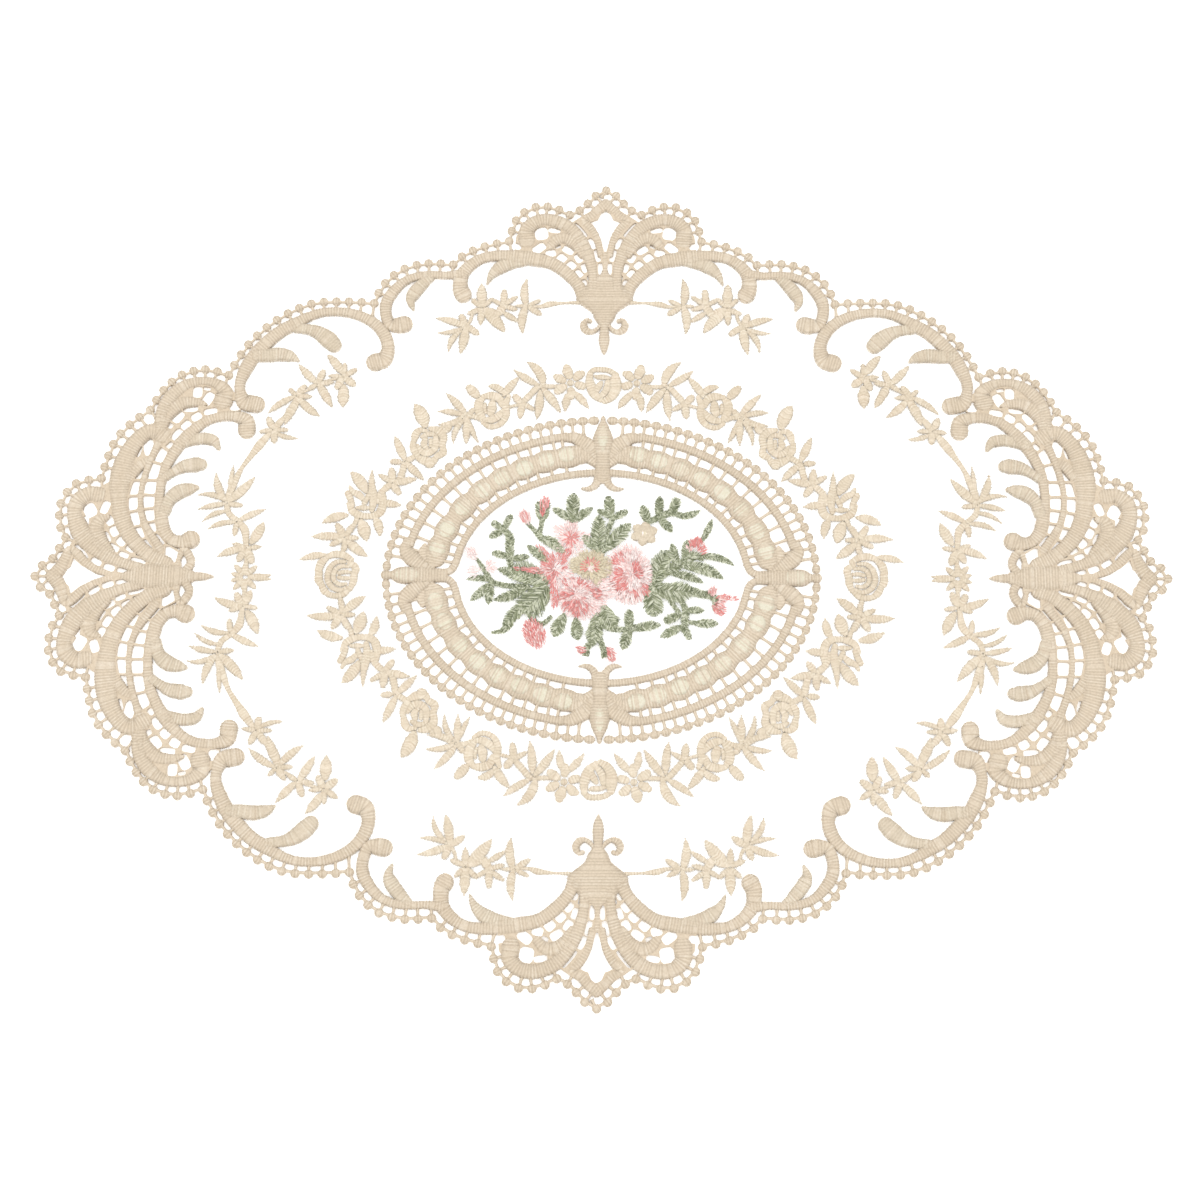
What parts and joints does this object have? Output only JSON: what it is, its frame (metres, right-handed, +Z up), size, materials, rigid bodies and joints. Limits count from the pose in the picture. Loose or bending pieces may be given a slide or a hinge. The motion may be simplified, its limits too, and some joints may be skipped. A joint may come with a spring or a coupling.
{
  "type": "lace doily",
  "caption": "Oval table mat of sheer net with a scalloped openwork border, a rose garland, an openwork ring and a coloured bouquet.",
  "frame": {"origin": "middle of the mat on its underside, the face that lies on the table", "axes": "+X along the mat's length, +Y across it to the back, +Z up out of the worked face"},
  "size_m": [0.3996, 0.2994, 0.0022],
  "materials": {
    "sheer_white_net": "sheer plain net",
    "beige_satin_thread": "satin stitch",
    "cream_satin_thread": "satin stitch",
    "green_satin_thread": "satin stitch",
    "pink_satin_thread": "satin stitch"
  },
  "bodies": {
    "root": {"bouquet_bud_1": "pink_satin_thread", "bouquet_bud_2": "pink_satin_thread", "bouquet_bud_3": "pink_satin_thread", "bouquet_bud_4": "pink_satin_thread", "bouquet_bud_5": "pink_satin_thread", "bouquet_bud_6": "pink_satin_thread", "bouquet_bud_7": "pink_satin_thread", "bouquet_bud_8": "pink_satin_thread", "bouquet_greens_1": "green_satin_thread", "bouquet_greens_2": "green_satin_thread", "bouquet_greens_3": "green_satin_thread", "bouquet_greens_4": "green_satin_thread", "bouquet_greens_5": "green_satin_thread", "bouquet_greens_6": "green_satin_thread", "bouquet_greens_7": "green_satin_thread", "bouquet_greens_8": "green_satin_thread", "bouquet_greens_9": "green_satin_thread", "bouquet_roses": "pink_satin_thread", "centre_net": "sheer_white_net", "field_net": "sheer_white_net", "lace_border": "beige_satin_thread", "medallion_lace": "beige_satin_thread", "rose_garland": "cream_satin_thread", "side_spray_left": "cream_satin_thread", "side_spray_right": "cream_satin_thread"}
  },
  "joints": []
}
